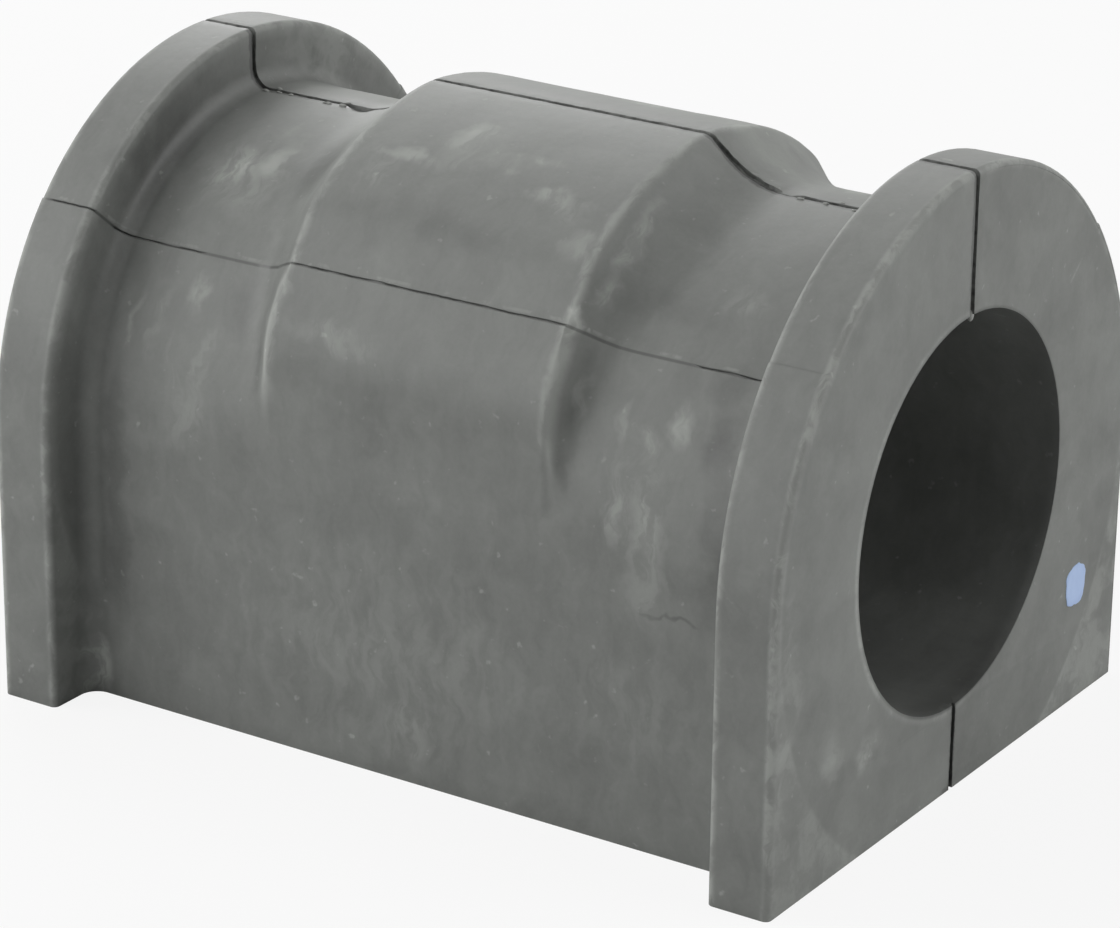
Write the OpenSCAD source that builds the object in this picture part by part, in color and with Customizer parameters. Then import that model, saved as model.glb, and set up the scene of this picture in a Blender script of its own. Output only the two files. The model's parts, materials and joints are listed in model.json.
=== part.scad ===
// Split stabilizer bushing: two equal moulded rubber half shells round one bore, with an end flange
// at each end and a raised middle band. The bore runs along X, its axis is the origin, Z is up and
// the flat base faces down. Sizes are in millimetres.

/* [Bore] */
// Diameter of the bore that grips the bar
bore_dia = 30; // [27:0.2:31]
// Height of the bore axis above the centre of the round tops
bore_lift = 0.3; // [0:0.05:0.6]

/* [Flanges] */
// Length over both flanges
bush_length = 68; // [63:0.5:80]
// Thickness of each end flange
flange_thick = 5; // [3.6:0.1:6.5]
// Radius of the round top of the flanges
flange_radius = 26; // [25.5:0.1:28]
// Height from the flat base to the centre of the round tops
base_depth = 21.5; // [17.5:0.1:26]
// Rounding of the outer edges of the flanges
flange_edge = 0.5; // [0.3:0.05:0.9]

/* [Body] */
// Radius of the round top of the necks beside the band
neck_radius = 21.45; // [20.6:0.05:22]
// Rounding where the necks run into the flanges
root_round = 1.4; // [0.8:0.1:2]

/* [Middle band] */
// Length of the band between its two crests
band_length = 24.4; // [18:0.2:28]
// Height of the band above the necks
band_rise = 3.4; // [3.1:0.05:3.8]
// Slope of the shoulders
shoulder_angle = 43; // [38:0.5:45]
// Rounding of the crests
crest_round = 1.2; // [1:0.1:2.2]
// Rounding at the foot of the shoulders
toe_round = 8; // [5:0.2:8.4]
// Direction that the slant beside the band's round top faces, above the horizontal
slant_angle = 33; // [32:0.5:34]
// Depth of that slant under the round top
slant_depth = 1.1; // [0.9:0.05:1.2]
// Rounding above and below the slant
slant_round = 8; // [7:0.5:9]

/* [Mould line] */
// Angle of the mould line above the horizontal, seen from the end
mould_angle = 40; // [38:0.5:42]
// Amount that the sides stand proud of the top at the mould line
mould_step = 0.12; // [0.08:0.01:0.2]

/* [Split] */
// Width of the relief along the outer edge of each split face
relief_wide = 0.15; // [0.1:0.01:0.25]
// Depth of that relief
relief_deep = 0.3; // [0.2:0.02:0.4]

/* [Hidden] */
$fn = 128;
half = bush_length / 2;
inner = half - flange_thick;
band_radius = neck_radius + band_rise;
// Side sizes, below the mould line
side_flange = flange_radius + mould_step;
side_neck = neck_radius + mould_step;
// The band's flat side lies a hair inside the neck's so that the two blend low on the side
flat_inset = 0.08;
band_flat = side_neck - flat_inset;
// The slant's distance from the centre of the tops, and the centres of the roundings beside it
top_slant = band_radius - slant_depth;
side_slant = top_slant + mould_step;
top_reach = band_radius - slant_round;
top_turn = slant_angle + acos((top_slant - slant_round) / top_reach);
top_along = top_reach * sin(top_turn - slant_angle);
side_y = band_flat - slant_round;
side_z = (side_slant - slant_round - side_y * cos(slant_angle)) / sin(slant_angle);
side_along = side_z * cos(slant_angle) - side_y * sin(slant_angle);
// The feet of the shoulders run this much deeper than the necks
foot_sink = 0.05;
top_rise = band_rise + foot_sink;
side_rise = top_rise + mould_step;
// Small laps, so that no two faces only just touch: roundings against straight edges, the top into
// the prouder sides in degrees, and the roundings beside the slant over what they join
blend = 0.003;
top_overlap = 1;
seam = 0.02;
flat_drop = 2;
far = 60;

// Section of the necks, root fillets and flanges: reach is measured outwards, length runs upwards.
module neck_section(neck, flange, cut = 0)
{
    wide = flange_thick - 2 * cut;
    round_at = flange - cut - flange_edge;
    for (end = [0, 1])
        mirror([0, end])
            difference()
            {
                union()
                {
                    translate([0, -1]) square([neck - cut, inner + 2]);
                    translate([0, inner - root_round]) square([neck + root_round, root_round + 1]);
                    translate([0, inner + cut]) square([round_at, wide]);
                    translate([0, inner + cut + flange_edge])
                        square([flange - cut, wide - 2 * flange_edge]);
                    translate([round_at, inner + cut + flange_edge]) circle(flange_edge);
                    translate([round_at, half - cut - flange_edge]) circle(flange_edge);
                }
                translate([neck + root_round, inner - root_round]) circle(root_round + cut);
            }
}

// Section of the band with its two shoulders: the crest is at reach, the foot is rise lower.
module band_section(reach, rise, foot_round, cut = 0)
{
    crest = band_length / 2 - crest_round * tan(shoulder_angle / 2);
    toe_cut = foot_round * tan(shoulder_angle / 2);
    toe = band_length / 2 + rise / tan(shoulder_angle);
    foot = reach - rise;
    lap = cut + blend;
    for (end = [0, 1])
        mirror([0, end])
            difference()
            {
                union()
                {
                    polygon([[0, -1], [reach - lap, -1], [reach - lap, crest],
                             [reach - crest_round + (crest_round - lap) * cos(shoulder_angle),
                              crest + (crest_round - lap) * sin(shoulder_angle)],
                             [foot + toe_cut * sin(shoulder_angle) - lap * cos(shoulder_angle),
                              toe - toe_cut * cos(shoulder_angle) - lap * sin(shoulder_angle)],
                             [foot - lap, toe + toe_cut], [0, toe + toe_cut]]);
                    translate([reach - crest_round, crest]) circle(crest_round - cut);
                }
                translate([foot + foot_round, toe + toe_cut]) circle(foot_round + lap + blend);
            }
}

// Turns a section about the length of the bushing.
module turn() rotate([0, 90, 0]) rotate_extrude() children();

// Draws a section straight down from the given height.
module drop(top, height)
    translate([0, 0, top - height]) linear_extrude(height = height)
        rotate([0, 0, -90]) children();

// A wedge seen along X, between two directions from the centre of the round tops.
module wedge(from, to)
    translate([-far, 0, 0]) rotate([90, 0, 90]) linear_extrude(height = 2 * far)
        polygon([[0, 0], [far * cos(from), far * sin(from)],
                 [far * cos((from + to) / 2), far * sin((from + to) / 2)],
                 [far * cos(to), far * sin(to)]]);

// The rounding beside the slant, turned about its own centre.
module slant_corner(centre_y, centre_z, rise)
    translate([0, -centre_y, centre_z]) turn() band_section(slant_round + seam, rise, toe_round);

// The slant itself, from one place along it down to another.
module slant(reach, rise, top, bottom)
    rotate([-slant_angle, 0, 0]) drop(top, top - bottom) band_section(reach, rise, toe_round);

module top_part()
{
    intersection()
    {
        turn() band_section(band_radius, top_rise, toe_round);
        wedge(90, 180 - top_turn);
    }
    intersection()
    {
        union()
        {
            turn() neck_section(neck_radius, flange_radius);
            slant_corner(top_reach * cos(top_turn), top_reach * sin(top_turn), top_rise);
            slant(top_slant, top_rise, top_along, side_along);
        }
        wedge(90, 180 - mould_angle + top_overlap);
    }
}

module side_part()
{
    intersection()
    {
        union()
        {
            turn() neck_section(side_neck, side_flange);
            slant_corner(side_y, side_z, side_rise);
            slant(side_slant, side_rise, top_along, side_along);
        }
        wedge(180 - mould_angle, 180);
    }
    drop(0, base_depth) neck_section(side_neck, side_flange);
    drop(side_z, side_z + flat_drop) band_section(band_flat, side_rise, toe_round);
}

module half_shell()
    translate([0, 0, -bore_lift])
        difference()
        {
            union()
            {
                top_part();
                side_part();
            }
            translate([-far, 0, bore_lift]) rotate([0, 90, 0])
                cylinder(h = 2 * far, d = bore_dia, $fn = 160);
            split_relief();
        }

// A narrow step along the outer edge of the split face, which leaves the dark line between halves.
module split_relief()
    rotate([90, 0, 0]) translate([0, 0, -1])
        linear_extrude(height = relief_wide + 1)
            difference()
            {
                square([2 * far, 2 * far], center = true);
                rotate([0, 0, 90]) mirror([0, 1, 0]) union()
                {
                    neck_section(neck_radius, flange_radius, relief_deep);
                    band_section(band_radius, top_rise, toe_round, relief_deep);
                }
                translate([-half + relief_deep, -base_depth + relief_deep])
                    square([bush_length - 2 * relief_deep, base_depth]);
            }

module front_half_shell()
    color([0.50, 0.51, 0.49]) half_shell();

module rear_half_shell()
    color([0.47, 0.48, 0.46]) rotate([0, 0, 180]) half_shell();

front_half_shell();
rear_half_shell();
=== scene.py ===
# %% [markdown]
# # A split stabilizer bushing in grey rubber
# The object is a long D-shaped rubber bushing that a suspension bracket clamps round a steel bar. It is
# moulded in two equal half shells, so that it can be put on without sliding it over the bar's end.
# This notebook dresses the CAD halves: it softens their edges, roughens the cut between them, adds the
# little burrs of flash that a rubber mould leaves, and gives everything a dusty grey rubber finish.
# The CAD halves come in first and stay the measure of every size.

# %% Load the CAD frame
import json
import math
import random
import bpy
from mathutils import Matrix, Vector, noise

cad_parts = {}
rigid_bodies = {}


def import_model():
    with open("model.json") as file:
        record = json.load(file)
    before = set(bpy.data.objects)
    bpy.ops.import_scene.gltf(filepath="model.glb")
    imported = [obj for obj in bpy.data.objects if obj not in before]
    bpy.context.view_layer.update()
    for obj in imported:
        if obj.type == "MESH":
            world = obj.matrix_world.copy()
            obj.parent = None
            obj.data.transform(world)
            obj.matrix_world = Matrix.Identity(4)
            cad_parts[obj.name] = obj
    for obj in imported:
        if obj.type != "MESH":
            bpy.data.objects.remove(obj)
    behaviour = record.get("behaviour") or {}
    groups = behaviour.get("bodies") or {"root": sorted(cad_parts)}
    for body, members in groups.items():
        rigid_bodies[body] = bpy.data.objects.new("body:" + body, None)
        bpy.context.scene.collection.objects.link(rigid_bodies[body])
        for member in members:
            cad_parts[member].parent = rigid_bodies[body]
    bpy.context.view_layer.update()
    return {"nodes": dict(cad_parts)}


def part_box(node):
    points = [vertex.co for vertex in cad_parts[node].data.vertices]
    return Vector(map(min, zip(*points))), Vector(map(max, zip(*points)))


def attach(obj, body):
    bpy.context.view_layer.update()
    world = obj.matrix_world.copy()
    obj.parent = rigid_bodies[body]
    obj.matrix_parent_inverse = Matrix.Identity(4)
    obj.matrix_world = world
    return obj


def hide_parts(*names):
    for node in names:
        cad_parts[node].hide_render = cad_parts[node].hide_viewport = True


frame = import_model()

MM = 0.001

# %% [markdown]
# ## Sizes that the finish needs
# The dressing has to know a few places on the CAD halves: where the base is, how long the bushing is and
# where the round tops have their centre. They are read from the CAD boxes, or noted once here, so that
# every later cell uses the same numbers. The moulds met along a plane that leans 40 degrees, which left
# a thin line on both sides, and the bar's bore sits a hair above the centre of the round tops. Points
# further from that centre than UNDER_SKIN lie on the outside of the rubber, and two places less than a
# HAIR apart are the same place.

# %% Main sizes
front_low, front_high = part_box("front_half_shell")
HALF_LENGTH = front_high.x
BASE_Z = front_low.z
BORE_RADIUS = 15 * MM
TOPS_CENTRE_Z = -0.3 * MM
FLANGE_INNER_X = 29 * MM
FLANGE_RADIUS = 26 * MM
NECK_RADIUS = 21.45 * MM
UNDER_SKIN = 20.5 * MM
MOULD_ANGLE = math.radians(40)
SPLIT_RELIEF = 0.15 * MM
CENTRE = Vector((0, 0, TOPS_CENTRE_Z))
HAIR = 0.01 * MM
print("half length", round(HALF_LENGTH / MM, 2), "mm, base at", round(BASE_Z / MM, 2), "mm")

# %% [markdown]
# ## The camera
# The camera stands in front and to the right, a little above the bushing, and is far away for its size,
# so the two flanges look nearly the same height. Its direction, distance and lens were worked out from
# the way the ends, the bore and the base edges run in the picture. The frame is 1120 by 928.

# %% Camera
AZIMUTH, ELEVATION, ROLL = (math.radians(a) for a in (33.052, 21.208, 0.641))
DISTANCE, SLIDE, LIFT = 332.50 * MM, -0.434 * MM, -3.201 * MM
LENS = 141.39
back = Vector((math.sin(AZIMUTH) * math.cos(ELEVATION), -math.cos(AZIMUTH) * math.cos(ELEVATION),
               math.sin(ELEVATION)))
level_right = Vector((0, 0, 1)).cross(back).normalized()
level_up = back.cross(level_right)
right = math.cos(ROLL) * level_right + math.sin(ROLL) * level_up
up = math.cos(ROLL) * level_up - math.sin(ROLL) * level_right
place = back * DISTANCE + right * SLIDE + up * LIFT + CENTRE
camera_data = bpy.data.cameras.new("camera")
camera_data.sensor_width = 36
camera_data.lens = LENS
camera_data.clip_start = 10 * MM
camera = bpy.data.objects.new("camera", camera_data)
turn = Matrix((right, up, back)).transposed().to_4x4()
camera.matrix_world = Matrix.Translation(place) @ turn
bpy.context.scene.collection.objects.link(camera)
bpy.context.scene.camera = camera
print("camera stands", round(place.length / MM), "mm from the bushing")

# %% [markdown]
# ## Helpers for working by hand
# Blender's operators act on whatever is selected. Two small helpers keep that in order: one picks a
# single object, and one goes into edit mode on it, selects faces, edges or vertices by a test on their
# place, and leaves the rest alone. A third gives the two ends of an edge.

# %% Selecting helpers
def pick(piece):
    if bpy.context.object and bpy.context.object.mode != "OBJECT":
        bpy.ops.object.mode_set(mode="OBJECT")
    bpy.ops.object.select_all(action="DESELECT")
    piece.select_set(True)
    bpy.context.view_layer.objects.active = piece


def edit(piece, kind="FACE", test=None):
    pick(piece)
    bpy.ops.object.mode_set(mode="EDIT")
    bpy.ops.mesh.select_mode(type=kind)
    bpy.ops.mesh.select_all(action="DESELECT" if test else "SELECT")
    if test:
        bpy.ops.object.mode_set(mode="OBJECT")
        mesh = piece.data
        items = {"FACE": mesh.polygons, "EDGE": mesh.edges, "VERT": mesh.vertices}[kind]
        for item in items:
            item.select = bool(test(item))
        bpy.ops.object.mode_set(mode="EDIT")


def ends_of(mesh, edge):
    return [mesh.vertices[v].co for v in edge.vertices]


# %% [markdown]
# ## The two rubber halves
# Each half starts as a copy of its CAD node. The CAD mesh is loose triangles, so the copy is merged and
# its flat triangles are dissolved into quads and larger faces. Then planes cut it about every millimetre,
# as loop cuts would, so that it has enough points to bend. The other ways would be to model the shell
# again from a circle, which can't follow the fading shoulders so closely, or a voxel remesh, which
# would wash out the thin mould step. A copy keeps the exact form and takes the detail on top.

# %% Copy a half and merge it
SAME_POINT = 0.0005 * MM
SAME_PLANE = math.radians(0.3)


def copy_half(node, name):
    piece = bpy.data.objects.new(name, frame["nodes"][node].data.copy())
    bpy.context.scene.collection.objects.link(piece)
    edit(piece)
    bpy.ops.mesh.customdata_custom_splitnormals_clear()
    bpy.ops.mesh.remove_doubles(threshold=SAME_POINT)
    bpy.ops.mesh.dissolve_limited(angle_limit=SAME_PLANE)
    bpy.ops.object.mode_set(mode="OBJECT")
    print(name, "starts with", len(piece.data.polygons), "faces")
    return piece


front = copy_half("front_half_shell", "front_half_rubber")
rear = copy_half("rear_half_shell", "rear_half_rubber")
HALVES = ((front, -1), (rear, 1))

# %% [markdown]
# Loops along and across: the bisect operator cuts everything selected with a plane. Cuts across the
# length are 1 mm apart, and the flat lower sides get level cuts 1.2 mm apart as well.

# %% Cut loops into the halves
LEVEL_STEP, LEVELS = 1.2 * MM, 17
LAST_CUT = int(HALF_LENGTH / MM) - 1


def cut_across(place, normal):
    bpy.ops.mesh.select_all(action="SELECT")
    bpy.ops.mesh.bisect(plane_co=place, plane_no=normal)


for piece, _ in HALVES:
    edit(piece)
    for step in range(-LAST_CUT, LAST_CUT + 1):
        cut_across((step * MM, 0, 0), (1, 0, 0))
    for level in range(1, LEVELS + 1):
        cut_across((0, 0, BASE_Z + level * LEVEL_STEP), (0, 0, 1))
    bpy.ops.object.mode_set(mode="OBJECT")
    print(piece.name, "has", len(piece.data.polygons), "faces")

# %% [markdown]
# ## Softer valleys
# Rubber fills a corner of its mould with a soft hollow, and the CAD valleys at the foot of the shoulders
# are a little crisp. The points that lie in a hollow are found by comparing each point with its
# neighbours: in a hollow they stand higher than it does. Those points, and the ones next to them, are
# smoothed. A subdivision surface would soften the sharp crests as well, which should stay.

# %% Smooth the hollows
SHOULDER_X = (12.4 * MM, 20.5 * MM)
SHOULDER_LOW_Z = 2 * MM
LEAST_HOLLOW = 0.12


def reach_of(point):
    return math.hypot(point.y, point.z - TOPS_CENTRE_Z)


def skin(point, margin):
    between = abs(point.x) < FLANGE_INNER_X and abs(point.y) > margin
    return between and reach_of(point) > UNDER_SKIN - 0.2 * MM


def hollow_points(piece):
    mesh = piece.data
    lift = [0.0] * len(mesh.vertices)
    for edge in mesh.edges:
        a, b = (mesh.vertices[v] for v in edge.vertices)
        along = b.co - a.co
        if along.length > 0.0001 * MM:
            lift[a.index] += along.normalized().dot(a.normal)
            lift[b.index] -= along.normalized().dot(b.normal)
    return {v.index for v in mesh.vertices
            if lift[v.index] > LEAST_HOLLOW and SHOULDER_X[0] < abs(v.co.x) < SHOULDER_X[1]
            and v.co.z > SHOULDER_LOW_Z and skin(v.co, 0.6 * MM)}


for piece, _ in HALVES:
    hollow = hollow_points(piece)
    edit(piece, "VERT", lambda v: v.index in hollow)
    bpy.ops.mesh.select_more()
    bpy.ops.mesh.vertices_smooth(factor=0.5, repeat=10)
    bpy.ops.object.mode_set(mode="OBJECT")
    print(piece.name, "smoothed round", len(hollow), "hollow points")

# %% [markdown]
# ## A skin that is never quite flat
# Moulded rubber shrinks unevenly as it cools, so light slides over it in soft waves. A Displace modifier
# with a cloud texture sinks the skin by up to two tenths of a millimetre. A vertex group fades it out
# towards the split, the mould line, the flanges and the base. Its middle level is 1, so it only ever
# moves inwards and every size is kept.

# %% Sink the skin in soft waves
WAVE_SIZE, WAVE_DEPTH = 7 * MM, 0.22 * MM
WAVELESS_AT_SPLIT = 0.8 * MM
soft_waves = bpy.data.textures.new("soft_waves", "CLOUDS")
soft_waves.noise_scale = WAVE_SIZE
soft_waves.noise_depth = 2


def mould_normal(side):
    return Vector((0, -side * math.sin(MOULD_ANGLE), math.cos(MOULD_ANGLE)))


def mould_distance(point, side):
    return (point - CENTRE).dot(mould_normal(side))


def skin_share(point, side):
    if not skin(point, WAVELESS_AT_SPLIT):
        return 0.0
    fades = ((abs(point.y) - WAVELESS_AT_SPLIT) / (4 * MM), (FLANGE_INNER_X - abs(point.x)) / (3 * MM),
             (point.z - BASE_Z) / (3 * MM), abs(mould_distance(point, side)) / (2.5 * MM) - 0.05)
    return max(0.0, min(1.0, *fades))


for piece, side in HALVES:
    group = piece.vertex_groups.new(name="skin")
    for v in piece.data.vertices:
        group.add([v.index], skin_share(v.co, side), "REPLACE")
    pick(piece)
    waves = piece.modifiers.new("waves", "DISPLACE")
    waves.texture = soft_waves
    waves.texture_coords = "LOCAL"
    waves.vertex_group = "skin"
    waves.strength = WAVE_DEPTH
    waves.mid_level = 1.0
    bpy.ops.object.modifier_apply(modifier="waves")
    piece.vertex_groups.clear()
    print(piece.name, "skin waves applied")

# %% [markdown]
# ## The mould line
# Where the parts of the mould met, the sides stand a hair proud and a fine dark groove runs along the
# whole half, never quite straight. Two more cuts beside the step give the groove its width. The rows
# along it are subdivided so that they can wander a little, and the middle row is pushed into the rubber.
# On the flange at one end of each half the mould closed so well that the line can hardly be seen.

# %% Cut and press in the mould line
GROOVE_HALF_WIDTH, GROOVE_DEPTH, CLOSED_DEPTH = 0.11 * MM, 0.14 * MM, 0.02 * MM
GROOVE_ROWS = (-GROOVE_HALF_WIDTH, 0, GROOVE_HALF_WIDTH)
GROOVE_END_X = HALF_LENGTH - 0.6 * MM
ON_ROW = 0.004 * MM


def outer(point):
    return reach_of(point) > UNDER_SKIN and abs(point.x) < GROOVE_END_X


def along_groove(edge, mesh, side):
    a, b = ends_of(mesh, edge)
    if (a - b).length < 0.4 * MM or not (outer(a) and outer(b)):
        return False
    away = [mould_distance(point, side) for point in (a, b)]
    return any(all(abs(d - row) < ON_ROW for d in away) for row in GROOVE_ROWS)


for piece, side in HALVES:
    normal = mould_normal(side)
    edit(piece)
    for offset in (-GROOVE_HALF_WIDTH, GROOVE_HALF_WIDTH):
        cut_across(CENTRE + normal * offset, normal)
    edit(piece, "EDGE", lambda edge: along_groove(edge, piece.data, side))
    bpy.ops.mesh.subdivide(number_cuts=4)
    bpy.ops.object.mode_set(mode="OBJECT")
    mesh = piece.data
    outward = {}
    for face in mesh.polygons:
        if abs(face.normal.dot(normal)) < 0.7:
            for v in face.vertices:
                outward[v] = outward.get(v, Vector()) + face.normal
    moved = 0
    for v in mesh.vertices:
        distance = mould_distance(v.co, side)
        if abs(distance) > 1.2 * GROOVE_HALF_WIDTH or not outer(v.co):
            continue
        wander = noise.noise(Vector((v.co.x / MM * 0.35, side * 7, 0))) * 0.08 * MM
        wander += noise.noise(Vector((v.co.x / MM * 1.9, side * 3, 5))) * 0.035 * MM
        if abs(distance) < HAIR and v.index in outward:
            depth = GROOVE_DEPTH * (1 + 0.6 * noise.noise(Vector((v.co.x / MM * 0.8, 9, side))))
            if -side * v.co.x > FLANGE_INNER_X - 1 * MM:
                depth = CLOSED_DEPTH
            v.co -= outward[v.index].normalized() * depth
            moved += 1
        v.co += normal * wander
    print(piece.name, "has a groove of", moved, "points")

# %% [markdown]
# ## The split and the outer rims
# Both halves have a small step along the edge of their split face. On the real rubber its lip is
# rounded, ragged and worn a little wider than it was cut. The rims of the bore and of the flat base are
# rounded as well. One bevel takes all of these edges, so that they meet cleanly in the corners, and then
# the lips are pushed apart and roughened with two noises.

# %% Round the rims and roughen the lips of the split
RIM_ROUNDING = 0.16 * MM
RIM_ANGLE = math.radians(50)
LIP_GAP, LIP_ROUGH, LIP_DEPTH = 0.13 * MM, 0.11 * MM, 0.5 * MM


def on_lip(point):
    return abs(abs(point.y) - SPLIT_RELIEF) < ON_ROW


def at_outside(point):
    return reach_of(point) > UNDER_SKIN or abs(point.x) > HALF_LENGTH - 0.35 * MM


def along_lip(edge, mesh):
    return all(on_lip(p) and at_outside(p) for p in ends_of(mesh, edge))


def long_lip(edge, mesh):
    a, b = ends_of(mesh, edge)
    return along_lip(edge, mesh) and (a - b).length > 0.3 * MM


def normals_beside(mesh):
    beside = {}
    for face in mesh.polygons:
        for key in face.edge_keys:
            beside.setdefault(key, []).append(face.normal.copy())
    return beside


def on_rim(edge, mesh, beside):
    a, b = ends_of(mesh, edge)
    normals = beside[edge.key]
    if len(normals) < 2 or normals[0].angle(normals[1]) < RIM_ANGLE:
        return False
    at_base = all(abs(p.z - BASE_Z) < 0.002 * MM for p in (a, b)) and abs(a.y) + abs(b.y) > 0.5 * MM
    at_bore = all(abs(p.x) > HALF_LENGTH - HAIR and math.hypot(p.y, p.z) < BORE_RADIUS + 0.03 * MM
                  for p in (a, b))
    return at_base or at_bore


for piece, side in HALVES:
    edit(piece, "EDGE", lambda edge: long_lip(edge, piece.data))
    bpy.ops.mesh.subdivide(number_cuts=3)
    bpy.ops.object.mode_set(mode="OBJECT")
    beside = normals_beside(piece.data)
    edit(piece, "EDGE", lambda edge: on_rim(edge, piece.data, beside) or along_lip(edge, piece.data))
    bpy.ops.mesh.bevel(offset=RIM_ROUNDING, segments=3, clamp_overlap=True)
    bpy.ops.object.mode_set(mode="OBJECT")
    for v in piece.data.vertices:
        depth = abs(v.co.y)
        if 0.02 * MM < depth < LIP_DEPTH and at_outside(v.co):
            rough = noise.noise(v.co * 700 + Vector((side * 5, 0, 0)))
            rough += noise.noise(v.co * 2300 + Vector((0, side * 5, 0))) * 0.7
            v.co.y += side * (LIP_GAP + rough * LIP_ROUGH) * (1 - depth / (LIP_DEPTH + 0.2 * MM))
    print(piece.name, "has", len(piece.data.polygons), "faces after its lips")

# %% [markdown]
# The rear half's lip was torn up a little on the shoulder towards the painted end, where it catches the
# light. And its painted end face lies a hair deeper than the front half's, which leaves room for paint.

# %% Lift the torn lip and set the painted face back
TORN_X, TORN_HALF_LENGTH = 16.4 * MM, 4.2 * MM
PAINT_ROOM = 0.05 * MM
lifted = 0
for v in rear.data.vertices:
    torn = 1 - abs(v.co.x - TORN_X) / TORN_HALF_LENGTH
    if torn > 0 and 0.1 * MM < v.co.y < 0.55 * MM and v.co.z > NECK_RADIUS - 0.9 * MM:
        v.co.z += min(1.0, torn * 2) * (0.20 + 0.12 * noise.noise(v.co * 1500)) * MM
        lifted += 1
    if v.co.x > HALF_LENGTH - HAIR:
        v.co.x -= PAINT_ROOM
print("torn lip of", lifted, "points")

# %% [markdown]
# ## Floor and background
# The bushing stands on a plain pale floor that the camera sees as nearly white, while it still takes
# the soft shadow. Its glow is only there for the camera, so it isn't counted among the lamps.

# %% Floor
FLOOR_GLOW = 0.88
bpy.ops.object.select_all(action="DESELECT")
bpy.ops.mesh.primitive_plane_add(size=6, location=(0, 0, 0))
floor = bpy.context.object
floor.name = "floor"
for vertex in floor.data.vertices:
    vertex.co.z = BASE_Z


def new_material(name):
    material = bpy.data.materials.new(name)
    material.use_nodes = True
    tree = material.node_tree
    tree.nodes.clear()
    return material, tree


floor_material, tree = new_material("pale_floor")
output = tree.nodes.new("ShaderNodeOutputMaterial")
paper = tree.nodes.new("ShaderNodeBsdfDiffuse")
paper.inputs["Color"].default_value = (0.8, 0.8, 0.8, 1)
glow = tree.nodes.new("ShaderNodeEmission")
glow.inputs["Color"].default_value = (1, 1, 1, 1)
light_path = tree.nodes.new("ShaderNodeLightPath")
seen = tree.nodes.new("ShaderNodeMath")
seen.operation = "MULTIPLY"
seen.inputs[1].default_value = FLOOR_GLOW
mix = tree.nodes.new("ShaderNodeMixShader")
tree.links.new(light_path.outputs["Is Camera Ray"], seen.inputs[0])
tree.links.new(seen.outputs[0], mix.inputs["Fac"])
tree.links.new(paper.outputs[0], mix.inputs[1])
tree.links.new(glow.outputs[0], mix.inputs[2])
tree.links.new(mix.outputs[0], output.inputs["Surface"])
floor_material.cycles.emission_sampling = "NONE"
floor.data.materials.append(floor_material)
print("floor lies at", round(BASE_Z / MM, 2), "mm")

# %% [markdown]
# The world round the floor is white for the camera and in reflections, and gives no light of its own.

# %% World
world = bpy.data.worlds.new("studio")
bpy.context.scene.world = world
world.use_nodes = True
tree = world.node_tree
tree.nodes.clear()
output = tree.nodes.new("ShaderNodeOutputWorld")
white = tree.nodes.new("ShaderNodeBackground")
white.inputs["Color"].default_value = (1, 1, 1, 1)
dark = tree.nodes.new("ShaderNodeBackground")
dark.inputs["Color"].default_value = (0, 0, 0, 1)
light_path = tree.nodes.new("ShaderNodeLightPath")
mix = tree.nodes.new("ShaderNodeMixShader")
seen = tree.nodes.new("ShaderNodeMath")
seen.operation = "MAXIMUM"
tree.links.new(light_path.outputs["Is Camera Ray"], seen.inputs[0])
tree.links.new(light_path.outputs["Is Glossy Ray"], seen.inputs[1])
tree.links.new(seen.outputs[0], mix.inputs["Fac"])
tree.links.new(dark.outputs[0], mix.inputs[1])
tree.links.new(white.outputs[0], mix.inputs[2])
tree.links.new(mix.outputs[0], output.inputs["Surface"])
print("world has", len(tree.nodes), "nodes")

# %% [markdown]
# ## Lamps
# Large soft lamps stand round the object, all of one size and at one distance. Each is placed by its
# direction and height, in degrees, looks at the bushing and has its own power.

# %% Lamps
LAMP_DISTANCE, LAMP_SIZE = 0.6, 0.35
LAMPS = (
    # name, azimuth, elevation, watts
    ("left", -60, 25, 1.447),
    ("right", 100, 15, 1.32),
    ("left_behind", 225, 25, 0.983),
    ("right_behind", 130, 45, 0.74),
    ("left_front_low", -25, 10, 0.852),
    ("left_high", -100, 60, 0.44),
    ("left_front_high", -25, 60, 0.15),
    ("overhead", 0, 88, 0.06),
    ("front", 5, 40, 0.18),
    ("right_high", 100, 45, 0.139),
    ("left_behind_high", 225, 55, 0.136),
    ("behind", 160, 25, 0.061),
)
for name, azimuth, elevation, watts in LAMPS:
    a, e = math.radians(azimuth), math.radians(elevation)
    direction = Vector((math.sin(a) * math.cos(e), -math.cos(a) * math.cos(e), math.sin(e)))
    lamp_data = bpy.data.lights.new(name, "AREA")
    lamp_data.shape = "DISK"
    lamp_data.size = LAMP_SIZE
    lamp_data.energy = watts
    lamp = bpy.data.objects.new(name, lamp_data)
    lamp.location = direction * LAMP_DISTANCE
    lamp.rotation_euler = direction.to_track_quat("Z", "Y").to_euler()
    bpy.context.scene.collection.objects.link(lamp)
print(len(LAMPS), "lamps")

# %% [markdown]
# ## The rubber
# Moulded rubber is a dull mid grey with a hint of green. Powder that stops it sticking in the mould stays
# on it as pale clouds, smears and specks, painted highlights make the crests lighter and painted shade
# makes the corners darker. A photograph could be wrapped round it, but it would carry light and shade
# that belong to another place.
# Instead noises of several sizes make the clouds, and soft oval patches put the larger smears where the
# real ones are. Everything reads Object coordinates, so it stays fixed to the rubber.

# %% Helpers for nodes
def add(tree, kind, **settings):
    node = tree.nodes.new(kind)
    for name, value in settings.items():
        setattr(node, name, value)
    return node


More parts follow.
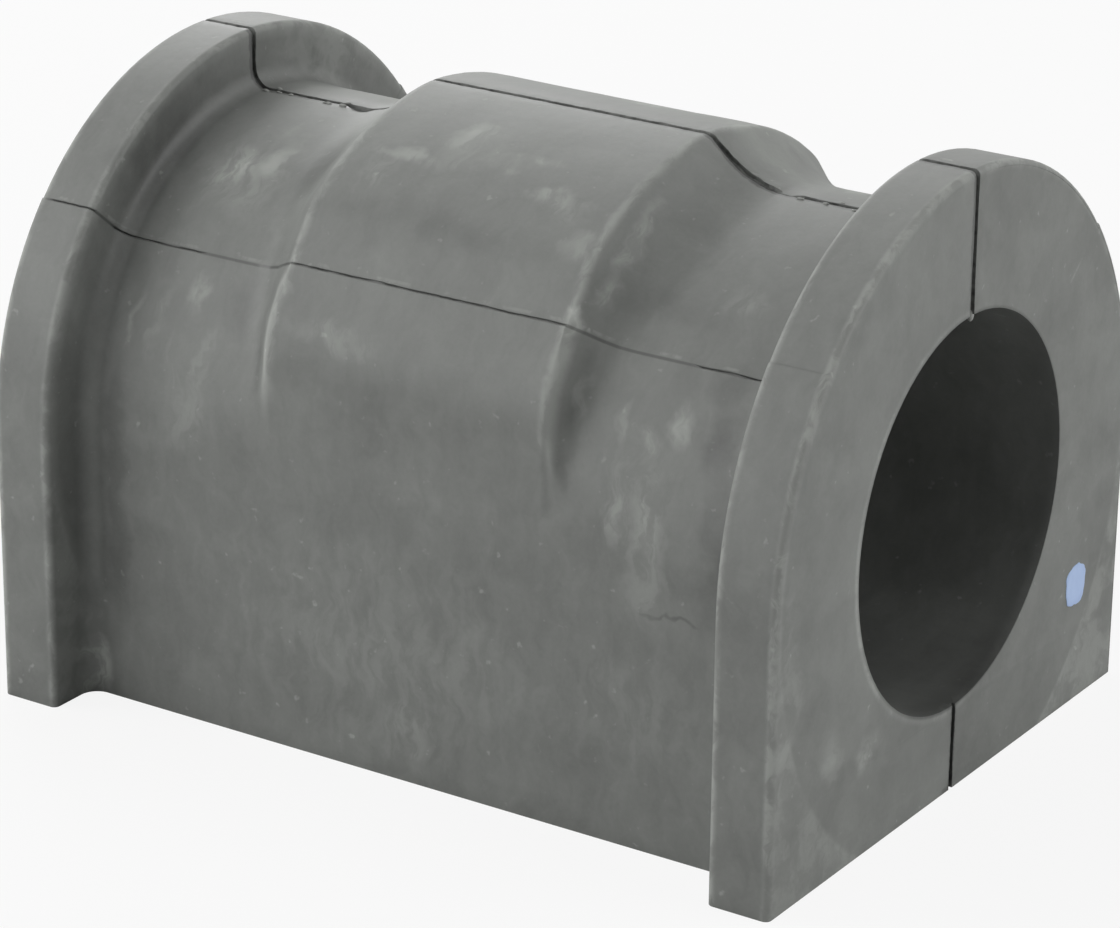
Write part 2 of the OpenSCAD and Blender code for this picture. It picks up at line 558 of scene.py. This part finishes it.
def new_finish(name):
    material, tree = new_material(name)
    output = add(tree, "ShaderNodeOutputMaterial")
    shader = add(tree, "ShaderNodeBsdfPrincipled")
    tree.links.new(shader.outputs[0], output.inputs["Surface"])
    return material, tree, shader


def bump_from(tree, relief, strength, depth, shader):
    bump = add(tree, "ShaderNodeBump")
    bump.inputs["Strength"].default_value = strength
    bump.inputs["Distance"].default_value = depth
    tree.links.new(relief, bump.inputs["Height"])
    tree.links.new(bump.outputs[0], shader.inputs["Normal"])


def feed(tree, socket, value):
    if isinstance(value, (int, float, tuple)):
        socket.default_value = value
    else:
        tree.links.new(value, socket)


def calc(tree, operation, *values, clamp=False):
    node = add(tree, "ShaderNodeMath", operation=operation, use_clamp=clamp)
    for socket, value in zip(node.inputs, values):
        feed(tree, socket, value)
    return node.outputs[0]


def vector_calc(tree, operation, *values):
    node = add(tree, "ShaderNodeVectorMath", operation=operation)
    for socket, value in zip(node.inputs, values):
        feed(tree, socket, value)
    return node.outputs["Value" if operation in ("LENGTH", "DISTANCE") else "Vector"]


def fade(tree, value, low, high, at_low, at_high, smooth=True):
    node = add(tree, "ShaderNodeMapRange", interpolation_type="SMOOTHSTEP" if smooth else "LINEAR")
    for socket, number in zip(node.inputs[:5], (value, low, high, at_low, at_high)):
        feed(tree, socket, number)
    return node.outputs[0]


def cloud(tree, place, size_mm, detail=3, rough=0.55, stretch=(1, 1, 1), seed=0.0):
    scale, shift = tuple(1 / (size_mm * s) for s in stretch), (seed, seed * 1.7, seed * 2.3)
    moved = vector_calc(tree, "MULTIPLY_ADD", place, scale, shift)
    node = add(tree, "ShaderNodeTexNoise")
    feed(tree, node.inputs["Vector"], moved)
    for name, number in (("Scale", 1), ("Detail", detail), ("Roughness", rough)):
        node.inputs[name].default_value = number
    return node.outputs[0]


def place_in_mm(tree):
    coordinates = add(tree, "ShaderNodeTexCoord")
    return vector_calc(tree, "MULTIPLY", coordinates.outputs["Object"], (1 / MM, 1 / MM, 1 / MM))


# %% [markdown]
# The first values are places on the rubber in millimetres. A gentle warp, made from a coloured noise,
# bends every pattern that is read from the warped place, which keeps smears from looking like ovals. The
# turned place is the same on both halves: the far one's is turned half a turn onto the near one's.

# %% Start the rubber material
def distance_of(a, b):
    squares = calc(tree, "ADD", calc(tree, "MULTIPLY", a, a), calc(tree, "MULTIPLY", b, b))
    return calc(tree, "SQRT", squares)


WARP_FINENESS, WARP_REACH = 0.28, 4
rubber, tree, shader = new_finish("grey_rubber")
place = place_in_mm(tree)
warp_noise = add(tree, "ShaderNodeTexNoise")
feed(tree, warp_noise.inputs["Vector"], vector_calc(tree, "MULTIPLY", place, (WARP_FINENESS,) * 3))
warp_noise.inputs["Scale"].default_value = 1
warp_noise.inputs["Detail"].default_value = 3
warp = vector_calc(tree, "SUBTRACT", warp_noise.outputs["Color"], (0.5, 0.5, 0.5))
warped = vector_calc(tree, "ADD", place, vector_calc(tree, "MULTIPLY", warp, (WARP_REACH,) * 3))
split_place = add(tree, "ShaderNodeSeparateXYZ")
feed(tree, split_place.inputs[0], place)
x, y, z = split_place.outputs
side_y = calc(tree, "ABSOLUTE", y)
height = calc(tree, "ADD", z, -TOPS_CENTRE_Z / MM)
reach = distance_of(y, height)
end_x = calc(tree, "ABSOLUTE", x)
half_turn = calc(tree, "MULTIPLY", calc(tree, "SIGN", y), -1.0)
along = calc(tree, "MULTIPLY", x, half_turn)
turn_signs = add(tree, "ShaderNodeCombineXYZ")
for socket, value in zip(turn_signs.inputs, (half_turn, half_turn, 1.0)):
    feed(tree, socket, value)
turned = vector_calc(tree, "MULTIPLY", warped, turn_signs.outputs[0])
print("rubber material started")

# %% [markdown]
# Clouds of powder: four noises, of 9, 3.2, 2.2 and 0.32 mm. The third is stretched round the halves
# like the wipe of a cloth, and the last is the powder's own grain. Each varies round zero, and so does
# their sum.

# %% Powder clouds
large = cloud(tree, warped, 9, 2, 0.5, seed=3.1)
middle = cloud(tree, warped, 3.2, 4, 0.6, seed=7.7)
wiped = cloud(tree, warped, 2.2, 4, 0.6, stretch=(0.55, 1.6, 1.6), seed=1.3)
grain = cloud(tree, place, 0.32, 3, 0.6, seed=5.5)
layers = (large, 0.42), (middle, 0.36), (wiped, 0.34), (grain, 0.13)
powder = -0.5 * sum(share for _, share in layers)
for layer, share in layers:
    powder = calc(tree, "MULTIPLY_ADD", layer, share, powder)
print("powder has", len(layers), "layers")

# %% [markdown]
# Patches: each is an oval that fades out from its centre. Light ones are powder. Dark ones make the rubber
# darker, and two of them are painted shade at the foot of the flange at the far end. The first list is
# laid on the near half, and turned half a turn for the far half, because hands and moulds mark both alike.
# The second list is for the far half alone, and its first patch is painted light on the inner face of that
# flange. A broken-up version of the clouds eats into the light patches, so that none has a plain edge and
# no two look the same.

# %% Light and dark patches
PATCHES = (
    # centre x, y, z, half width x, y, z in mm, strength
    # the neck at the far end, above the mould line
    (-21.6, -9.8, 18.9, 4.2, 3.8, 3.2, 0.18),
    (-22.4, -9.8, 18.8, 2.2, 2.2, 2.0, 0.74),
    (-21.2, -5.8, 20.4, 1.4, 1.6, 1.2, 0.48),
    (-19.8, -8.8, 19.6, 1.1, 2.6, 1.8, 0.60),
    (-20.4, -12.4, 17.2, 2.0, 2.4, 2.2, 0.22),
    (-23.4, -11.6, 17.8, 1.5, 2.4, 2.2, 0.24),
    # the band's top
    (-3.4, -6.4, 23.7, 2.0, 1.6, 1.1, 0.62),
    (-4.3, -7.8, 23.3, 1.3, 1.8, 1.2, 0.46),
    (-6.8, -10.6, 22.2, 3.4, 0.9, 0.9, 0.60),
    (0.9, -7.8, 23.4, 1.4, 0.8, 0.6, 0.34),
    (4.1, -8.1, 23.2, 1.5, 0.8, 0.6, 0.62),
    (1.8, -9.9, 22.5, 1.4, 0.5, 0.5, 0.42),
    (8.2, -12.0, 21.2, 2.6, 1.3, 1.3, 0.34),
    (6.0, -10.9, 22.0, 1.6, 0.8, 0.8, 0.28),
    (-8.6, -13.0, 20.6, 1.6, 2.8, 2.2, 0.22),
    (-1.6, -9.0, 22.8, 5.2, 1.8, 1.2, 0.22),
    (5.3, -11.5, 21.6, 3.2, 1.2, 1.1, 0.40),
    (10.2, -14.6, 19.6, 1.3, 1.6, 1.4, 0.40),
    # the shoulder and neck towards the painted end
    (13.6, -12.2, 19.8, 0.9, 3.4, 2.8, 0.72),
    (13.4, -9.0, 21.4, 0.7, 1.2, 1.0, 0.34),
    (13.4, -15.8, 16.6, 0.7, 1.8, 1.9, 0.62),
    (12.2, -18.1, 15.1, 0.7, 1.1, 1.1, 0.80),
    (-12.0, -18.1, 15.1, 0.5, 0.9, 1.1, 0.60),
    (-12.2, -19.2, 13.2, 0.5, 1.2, 2.2, 0.46),
    (23.2, -12.8, 17.2, 2.2, 1.6, 1.6, 0.28),
    # under the mould line at the far end
    (-20.6, -18.3, 11.2, 1.2, 1.6, 1.8, 0.58),
    (-23.2, -19.4, 8.8, 0.8, 1.6, 3.6, 0.34),
    (-25.5, -19.8, 8.2, 0.5, 1.2, 2.6, 0.50),
    (-18.9, -20.3, 6.6, 0.7, 1.6, 2.8, 0.32),
    (-21.6, -20.5, 5.0, 0.7, 1.6, 3.6, 0.24),
    (-19.6, -21.3, 2.6, 2.4, 1.6, 3.0, 0.18),
    (-6.4, -20.7, 11.3, 4.4, 1.4, 1.2, 0.30),
    # under the mould line towards the painted end
    (19.4, -20.3, 5.4, 3.6, 2.4, 6.0, 0.12),
    (19.6, -19.8, 8.6, 0.9, 1.6, 2.4, 0.56),
    (21.5, -19.0, 10.0, 0.9, 1.5, 1.7, 0.64),
    (17.2, -19.3, 9.2, 0.6, 1.6, 1.9, 0.32),
    (20.3, -21.0, 3.8, 1.3, 1.6, 3.0, 0.30),
    (20.8, -21.4, 0.2, 2.0, 1.6, 4.4, 0.26),
    (17.8, -21.1, 3.4, 1.4, 1.6, 3.0, 0.34),
    (14.1, -19.3, 10.2, 0.5, 1.5, 2.6, 0.30),
    (0.4, -21.5, -18.2, 2.6, 1.4, 2.8, 0.22),
    # the end face and the tops beside the split
    (34.0, -12.8, -13.8, 1.5, 1.6, 1.8, 0.50),
    (34.0, -17.6, -12.8, 1.5, 1.6, 2.2, 0.26),
    (34.0, -24.0, -4.0, 1.5, 1.5, 8.0, 0.18),
    (-28.7, -22.2, -19.8, 1.4, 1.5, 4.4, 0.90),
    # darker places
    (-15.2, -9.6, 19.2, 2.0, 5.0, 4.4, -0.22),
    (-16.4, -18.4, 10.4, 1.0, 3.0, 5.5, -0.16),
    (-24.0, -17.0, 12.6, 1.4, 1.4, 1.4, -0.24),
    (24.6, -17.2, 12.4, 2.0, 1.6, 1.6, -0.28),
    (-1.0, -15.4, 19.0, 9.0, 2.0, 2.2, -0.14),
    (25.2, -19.0, 9.4, 2.0, 2.2, 3.0, -0.36),
    (26.6, -21.2, 3.0, 2.2, 2.4, 8.0, -0.30),
    # these two are painted shade at the foot of the flange at the far end
    (-26.2, -21.6, -4.0, 1.1, 2.4, 14.0, -0.26),
    (-28.7, -12.0, 18.4, 1.3, 7.0, 6.5, -0.26),
    (25.0, -21.6, -3.3, 0.9, 0.6, 0.22, -0.60),
    (22.6, -21.6, -3.2, 2.6, 0.6, 0.20, -0.34),
    (34.0, -0.9, -21.6, 0.8, 1.1, 0.5, -0.60),
    # a broad pale haze low on the side
    (-2.0, -21.6, -12.0, 15.0, 2.0, 9.0, 0.13),
    (20.0, -21.6, -11.0, 6.0, 2.0, 5.0, 0.10),
)
FAR_PATCHES = (
    # the flanges, beside the split and on the faces
    # painted light on the inner face of the flange at the far end, above the neck
    (-29.0, 9.9, 20.9, 1.2, 8.0, 5.0, 0.24),
    (-31.4, 0.8, 25.7, 0.7, 0.4, 0.6, 1.10),
    (30.4, 0.7, 25.7, 0.6, 0.4, 0.6, 0.90),
    (34.0, 24.5, -13.0, 1.5, 4.0, 7.0, -0.22),
    # the band and the necks
    (2.0, 9.0, 22.8, 9.0, 2.6, 1.6, 0.16),
    (-20.0, 7.0, 20.0, 3.0, 3.0, 2.0, 0.18),
    (19.0, 8.0, 19.8, 3.0, 3.0, 2.0, 0.18),
)
powder_and_lit_spots = dark_and_shaded_spots = 0.0
for where, patches in ((turned, PATCHES), (warped, FAR_PATCHES)):
    for *centre, wide, deep, high, strength in patches:
        widths = (wide, deep, high)
        scaled = vector_calc(tree, "MULTIPLY", where, tuple(1 / w for w in widths))
        away = vector_calc(tree, "DISTANCE", scaled, tuple(c / w for c, w in zip(centre, widths)))
        spot = fade(tree, away, 0.15, 1.25, strength, 0.0)
        if strength > 0:
            powder_and_lit_spots = calc(tree, "ADD", spot, powder_and_lit_spots)
        else:
            dark_and_shaded_spots = calc(tree, "ADD", spot, dark_and_shaded_spots)
broken = fade(tree, wiped, 0.40, 0.60, 0.48, 1.50)
smears_light_and_shade = calc(tree, "MULTIPLY_ADD", powder_and_lit_spots, broken, dark_and_shaded_spots)
print(len(PATCHES) + len(FAR_PATCHES), "patches laid out")

# %% [markdown]
# Marks that follow the form: painted highlights on the crests where the shoulders begin and on the edges
# round the flanges, painted shade in the corners at the foot of each flange, a dark mould line, and a dark
# split that is partly dirt and partly painted shade. A ridge is strongest along its middle, a stripe is
# even up to its plain half width, and both fade out sideways. The distances are in millimetres, as the
# shape's sizes are.

# %% Helpers for painted light, shade and marks
def stripe(value, middle_at, plain_half, half_width, strength):
    away = calc(tree, "ABSOLUTE", calc(tree, "SUBTRACT", value, middle_at))
    return fade(tree, away, plain_half, half_width, strength, 0.0)


def ridge(value, middle_at, half_width, strength):
    return stripe(value, middle_at, 0.0, half_width, strength)


def only(value, *masks):
    for mask in masks:
        value = calc(tree, "MULTIPLY", value, mask)
    return value


# %% [markdown]
# The crests of the shoulders get painted highlights, broken into patches. Low on the sides the painted
# highlight on the crest runs a little further out, with painted shade in the valley beside it. The flange
# rims get painted highlights too, and the corner under each flange gets painted shade with a painted
# highlight on the fold in front of it.

# %% Painted highlights and shade on crests, rims and corners
SHOULDER_CREST_X = 11.9
wobble = calc(tree, "MULTIPLY", calc(tree, "SUBTRACT", middle, 0.5), 0.8)
patchy = fade(tree, wiped, 0.42, 0.60, 0.45, 1.35)
on_skin = fade(tree, reach, UNDER_SKIN / MM - 0.2, UNDER_SKIN / MM + 0.1, 0.0, 1.0)
on_rim_top = fade(tree, reach, FLANGE_RADIUS / MM - 0.8, FLANGE_RADIUS / MM - 0.3, 0.0, 1.0)
below_rim = fade(tree, reach, FLANGE_RADIUS / MM - 0.6, FLANGE_RADIUS / MM - 1.4, 0.0, 1.0)
# painted highlight along the shoulder crests, broken into patches
crest_highlight = only(ridge(calc(tree, "ADD", end_x, wobble), SHOULDER_CREST_X, 0.7, 0.50), patchy,
             fade(tree, z, 4.0, 12.0, 0.0, 1.0), fade(tree, reach, 21.7, 22.4, 0.0, 1.0))
# painted highlight on the crest low on the sides
low_crest_highlight = only(ridge(end_x, 12.45, 0.55, 0.66), fade(tree, z, 3.0, 8.0, 0.0, 1.0),
                 fade(tree, z, 13.0, 15.0, 1.0, 0.0), on_skin)
# painted shade in the valley beside the low crest
valley_shade = only(ridge(end_x, 13.6, 0.7, -0.14), fade(tree, z, 2.0, 6.0, 0.0, 1.0),
              fade(tree, z, 12.5, 15.0, 1.0, 0.0), on_skin)
# painted shade in the corner at the foot of each flange
root = only(ridge(end_x, FLANGE_INNER_X / MM - 0.4, 1.7, -0.22), below_rim, on_skin)
# painted highlights along the outer and inner edges of the flange rims
rim_highlight = only(ridge(end_x, HALF_LENGTH / MM - 0.3, 0.5, 0.62), on_rim_top, patchy)
inner_rim_highlight = only(ridge(end_x, FLANGE_INNER_X / MM + 0.3, 0.5, 0.46), on_rim_top, patchy)
# painted highlight on the fold in front of each flange's corner
fold_highlight = only(ridge(end_x, FLANGE_INNER_X / MM - 0.7, 0.8, 0.34), on_skin, below_rim,
            fade(tree, z, 2.0, 12.0, 1.0, 0.0))
# painted reflection of the white backdrop along the far half's top, broken up by a large noise
far_top_painted_reflection = only(stripe(y, 8.0, 3.5, 7.0, 0.34), on_skin, fade(tree, end_x, 26.0, 28.5, 1.0, 0.0),
                   fade(tree, z, 10.0, 16.0, 0.0, 1.0), fade(tree, large, 0.35, 0.6, 0.5, 1.3))
print("crests, rims and corners follow the form")

# %% [markdown]
# The mould line is a thin dark stripe round the outside, with a broken pale stripe just above it. Both
# nearly vanish on the flange where the mould closed so well.

# %% Mould line tones
mould_seen = fade(tree, along, 27.5, 29.5, 1.0, 0.12)
mould_away = calc(tree, "SUBTRACT", calc(tree, "MULTIPLY", height, math.cos(MOULD_ANGLE)),
                  calc(tree, "MULTIPLY", side_y, math.sin(MOULD_ANGLE)))
mould_dark = only(stripe(mould_away, 0.0, 0.05, 0.18, 0.52), on_skin, mould_seen,
                  fade(tree, end_x, 33.0, 33.6, 1.0, 0.0))
mould_light = only(stripe(mould_away, 0.34, 0.04, 0.20, 0.32), on_skin, mould_seen,
                   fade(tree, middle, 0.50, 0.62, 0.0, 1.0))
print("mould line drawn at", round(math.degrees(MOULD_ANGLE)), "degrees")

# %% [markdown]
# The split is dark and ragged, partly dirt and partly painted shade of the gap between the halves, and
# lies a little more on the near half at the top. Painted shade darkens the bore, most at its bottom and
# towards its mouths, and deep inside it is painted lighter. The near half of its rim is paler.

# %% Split and bore tones, with painted shade and light
bore_reach = distance_of(y, z)
in_bore = fade(tree, bore_reach, BORE_RADIUS / MM + 0.05, BORE_RADIUS / MM + 0.30, 1.0, 0.0)
torn_edge = cloud(tree, place, 0.7, 3, 0.6, seed=4.4)
ragged = calc(tree, "MULTIPLY", calc(tree, "SUBTRACT", torn_edge, 0.5), 0.5)
towards_near = calc(tree, "ABSOLUTE", calc(tree, "ADD", y, fade(tree, z, 15.0, 20.0, 0.0, 0.18)))
# painted shade of the gap between the halves, with dirt in it, along a ragged edge
split_dirt_and_shade = only(stripe(calc(tree, "ADD", towards_near, ragged), 0.0, 0.28, 0.50, 0.62),
                  calc(tree, "SUBTRACT", 1.0, in_bore))
bore_lip = only(ridge(bore_reach, BORE_RADIUS / MM + 0.30, 0.45, 0.40),
                fade(tree, end_x, 33.4, 33.8, 0.0, 1.0), fade(tree, y, -2.0, 4.0, 1.0, 0.0), patchy)
# painted shade in the bore, darkest at its bottom and near its mouths, and painted light deep inside
bore_light_and_shade = only(fade(tree, z, -15.0, -12.0, 0.60, 0.85), fade(tree, end_x, 5.0, 26.0, 1.45, 1.0),
                 fade(tree, end_x, 31.0, 33.4, 1.0, 0.86))
print("split and bore have their tones")

# %% [markdown]
# The tone is one plus all of these, with a few pale specks, kept above a lowest value, so it carries the
# painted light and shade as well as the powder. It multiplies the plain grey, and where it is pale, from
# powder or a painted highlight, the rubber is also rougher. Fine pits and soft waves give a slight bump.

# %% Colour, roughness and bump
PLAIN_GREY, LOWEST_TONE = (0.200, 0.207, 0.196, 1), 0.12
tone = calc(tree, "ADD", calc(tree, "ADD", powder, smears_light_and_shade), 1.0)
for part in (crest_highlight, low_crest_highlight, valley_shade, root, rim_highlight, inner_rim_highlight, fold_highlight, far_top_painted_reflection, mould_light, bore_lip):
    tone = calc(tree, "ADD", tone, part)
specks = fade(tree, cloud(tree, place, 0.9, 2, 0.5, seed=9.2), 0.68, 0.80, 0.0, 0.50)
tone = calc(tree, "ADD", tone, specks)
for dark in (mould_dark, split_dirt_and_shade):
    tone = calc(tree, "MULTIPLY", tone, calc(tree, "SUBTRACT", 1.0, dark))
tone = calc(tree, "MULTIPLY", tone, fade(tree, in_bore, 0.0, 1.0, 1.0, bore_light_and_shade, smooth=False))
tone = calc(tree, "MAXIMUM", tone, LOWEST_TONE)
grey = add(tree, "ShaderNodeMix", data_type="RGBA", blend_type="MULTIPLY")
grey.inputs["Factor"].default_value = 1
grey.inputs["A"].default_value = PLAIN_GREY
tint = add(tree, "ShaderNodeCombineColor")
for socket in tint.inputs:
    feed(tree, socket, tone)
tree.links.new(tint.outputs[0], grey.inputs["B"])
tree.links.new(grey.outputs["Result"], shader.inputs["Base Color"])
roughness = calc(tree, "MULTIPLY_ADD", calc(tree, "SUBTRACT", tone, 1.0), 0.25, 0.52, clamp=True)
tree.links.new(roughness, shader.inputs["Roughness"])
shader.inputs["Specular IOR Level"].default_value = 0.40
pits = cloud(tree, place, 0.55, 4, 0.65, seed=2.2)
waves = cloud(tree, place, 2.6, 2, 0.5, seed=8.8)
relief = calc(tree, "MULTIPLY_ADD", waves, 4.0, pits)
bump_from(tree, relief, 0.35, 0.03 * MM, shader)
for piece, _ in HALVES:
    piece.data.materials.clear()
    piece.data.materials.append(rubber)
    pick(piece)
    bpy.ops.object.shade_smooth_by_angle(angle=math.radians(32))
print("rubber has", len(tree.nodes), "nodes")

# %% [markdown]
# ## Flash crumbs
# A rubber mould lets a little rubber out at its joints. Most of it is torn off, and what stays sits as
# pale crumbs along the split on both necks, with one at the top of the bore. They could be scattered
# with Geometry Nodes, but so few are easily placed in a loop. Each is a small ball, squashed and
# dented, that is half sunk into the rubber.

# %% Scatter flash crumbs along the split
random.seed(4)
DENT_SCALE, DENT_DEPTH = 4 / MM, 0.05 * MM
CRUMBS_PER_NECK = 9
# centre x, y, z, half width x, y, z in mm
CRUMB_PLACES = [(33.60, 0.45, 14.9, 0.28, 0.26, 0.55)]
for end in (-1, 1):
    for _ in range(CRUMBS_PER_NECK):
        along_neck = end * random.uniform(19.5, 28.0)
        aside = random.choice((-1, 1)) * random.uniform(0.34, 0.62)
        size = random.uniform(0.10, 0.20)
        on_top = (TOPS_CENTRE_Z + NECK_RADIUS) / MM
        CRUMB_PLACES.append((along_neck, aside, on_top, size * 1.8, size, size * 0.8))

crumbs = []
for cx, cy, cz, wide, deep, high in CRUMB_PLACES:
    bpy.ops.object.select_all(action="DESELECT")
    bpy.ops.mesh.primitive_ico_sphere_add(subdivisions=2, radius=1 * MM, scale=(wide, deep, high),
                                          location=(cx * MM, cy * MM, cz * MM))
    crumb = bpy.context.object
    bpy.ops.object.transform_apply(location=True, rotation=True, scale=True)
    for v in crumb.data.vertices:
        spots = (v.co * DENT_SCALE + Vector(shift) for shift in ((0, 0, 0), (7, 0, 0), (0, 7, 0)))
        v.co += Vector([noise.noise(spot) for spot in spots]) * DENT_DEPTH
    crumbs.append(crumb)
bpy.ops.object.select_all(action="DESELECT")
for crumb in crumbs:
    crumb.select_set(True)
bpy.context.view_layer.objects.active = crumbs[0]
bpy.ops.object.join()
flash = bpy.context.object
flash.name = "flash_crumbs"
bpy.ops.object.shade_smooth_by_angle(angle=math.radians(40))
print("flash has", len(crumbs), "crumbs and", len(flash.data.polygons), "faces")

# %% [markdown]
# Crumbs are thin, torn rubber with powder on them: paler and rougher than the skin, with a cloudy tone.

# %% Flash material
torn_rubber, tree, shader = new_finish("torn_rubber")
place = place_in_mm(tree)
dust = cloud(tree, place, 0.4, 3, 0.6, seed=2.0)
dusty = add(tree, "ShaderNodeMix", data_type="RGBA")
feed(tree, dusty.inputs["Factor"], dust)
dusty.inputs["A"].default_value = (0.20, 0.205, 0.195, 1)
dusty.inputs["B"].default_value = (0.42, 0.43, 0.41, 1)
tree.links.new(dusty.outputs["Result"], shader.inputs["Base Color"])
feed(tree, shader.inputs["Roughness"], fade(tree, dust, 0.0, 1.0, 0.55, 0.85))
bump_from(tree, dust, 0.4, 0.02 * MM, shader)
flash.data.materials.append(torn_rubber)
print("torn rubber has", len(tree.nodes), "nodes")

# %% [markdown]
# ## The paint dab
# A worker marks a checked part with a touch of pale blue paint. It is a thin, uneven spot, thicker at its
# rim where the paint dried first. A disc is pushed to its squarish, uneven outline, its front is inset,
# the middle is pressed in, and the rim is bevelled. Its back sits inside the rubber, so no gap shows.
# The triangles that fill the disc meet in a middle point, which keeps the inset clean.

# %% Shape the paint dab
DAB_Y, DAB_Z, DAB_HALF_WIDTH, DAB_HALF_HEIGHT = 19.1 * MM, -12.1 * MM, 1.55 * MM, 1.62 * MM
DAB_THICK, DAB_SQUARENESS, DAB_LEAN = 0.14 * MM, 2.8, 0.03
bpy.ops.object.select_all(action="DESELECT")
bpy.ops.mesh.primitive_cylinder_add(vertices=56, radius=1 * MM, depth=DAB_THICK, end_fill_type="TRIFAN",
                                    rotation=(0, math.pi / 2, 0),
                                    location=(HALF_LENGTH - DAB_THICK / 2, DAB_Y, DAB_Z))
dab = bpy.context.object
dab.name = "paint_dab"
bpy.ops.object.transform_apply(location=True, rotation=True, scale=True)
for v in dab.data.vertices:
    aside, upward = (v.co.y - DAB_Y) / MM, (v.co.z - DAB_Z) / MM
    if math.hypot(aside, upward) < 0.5:
        continue
    squarer = (abs(aside) ** DAB_SQUARENESS + abs(upward) ** DAB_SQUARENESS) ** (-1 / DAB_SQUARENESS)
    uneven = squarer * (1 + 0.12 * noise.noise(Vector((aside * 1.7, upward * 1.7, 3)))
                        + 0.06 * noise.noise(Vector((aside * 5, upward * 5, 8))))
    v.co.y = DAB_Y + (aside - DAB_LEAN * upward) * uneven * DAB_HALF_WIDTH
    v.co.z = DAB_Z + upward * uneven * DAB_HALF_HEIGHT
edit(dab, "FACE", lambda face: face.normal.x > 0.9)
bpy.ops.mesh.inset(thickness=0.3 * MM)
bpy.ops.transform.translate(value=(-0.02 * MM, 0, 0))
bpy.ops.object.mode_set(mode="OBJECT")
beside = normals_beside(dab.data)
edit(dab, "EDGE", lambda edge: all(p.x > HALF_LENGTH - 0.001 * MM for p in ends_of(dab.data, edge))
     and any(n.x < 0.5 for n in beside[edge.key]))
bpy.ops.mesh.bevel(offset=0.03 * MM, segments=2)
bpy.ops.object.mode_set(mode="OBJECT")
pick(dab)
bpy.ops.object.shade_smooth_by_angle(angle=math.radians(50))
print("dab is", [round(d / MM, 2) for d in dab.dimensions], "mm")

# %% [markdown]
# The paint is a pale blue that covers a little less well towards its rim, with a faint brushed cloudiness.

# %% Paint material
paint, tree, shader = new_finish("pale_blue_paint")
place = place_in_mm(tree)
brushed = cloud(tree, place, 0.8, 3, 0.55, stretch=(1, 0.7, 1.6), seed=6.1)
from_middle = vector_calc(tree, "SUBTRACT", place, (HALF_LENGTH / MM, DAB_Y / MM, DAB_Z / MM))
thin = fade(tree, vector_calc(tree, "LENGTH", from_middle), 1.1, 1.9, 0.0, 0.30)
paint_mix = add(tree, "ShaderNodeMix", data_type="RGBA")
feed(tree, paint_mix.inputs["Factor"], calc(tree, "MULTIPLY_ADD", brushed, 0.35, thin, clamp=True))
paint_mix.inputs["A"].default_value = (0.50, 0.64, 0.92, 1)
paint_mix.inputs["B"].default_value = (0.32, 0.44, 0.72, 1)
tree.links.new(paint_mix.outputs["Result"], shader.inputs["Base Color"])
feed(tree, shader.inputs["Roughness"], fade(tree, brushed, 0.0, 1.0, 0.35, 0.60))
bump_from(tree, brushed, 0.3, 0.02 * MM, shader)
dab.data.materials.append(paint)
print("paint has", len(tree.nodes), "nodes")

# %% [markdown]
# ## Attaching the pieces
# Nothing moves on this bushing, so every piece rides on the one body. The two dressed halves stand for
# the two CAD halves, which are hidden.

# %% Attach and finish
for piece in (front, rear, flash, dab):
    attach(piece, "root")
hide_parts("front_half_shell")
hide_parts("rear_half_shell")
bpy.context.scene.view_settings.view_transform = "Standard"
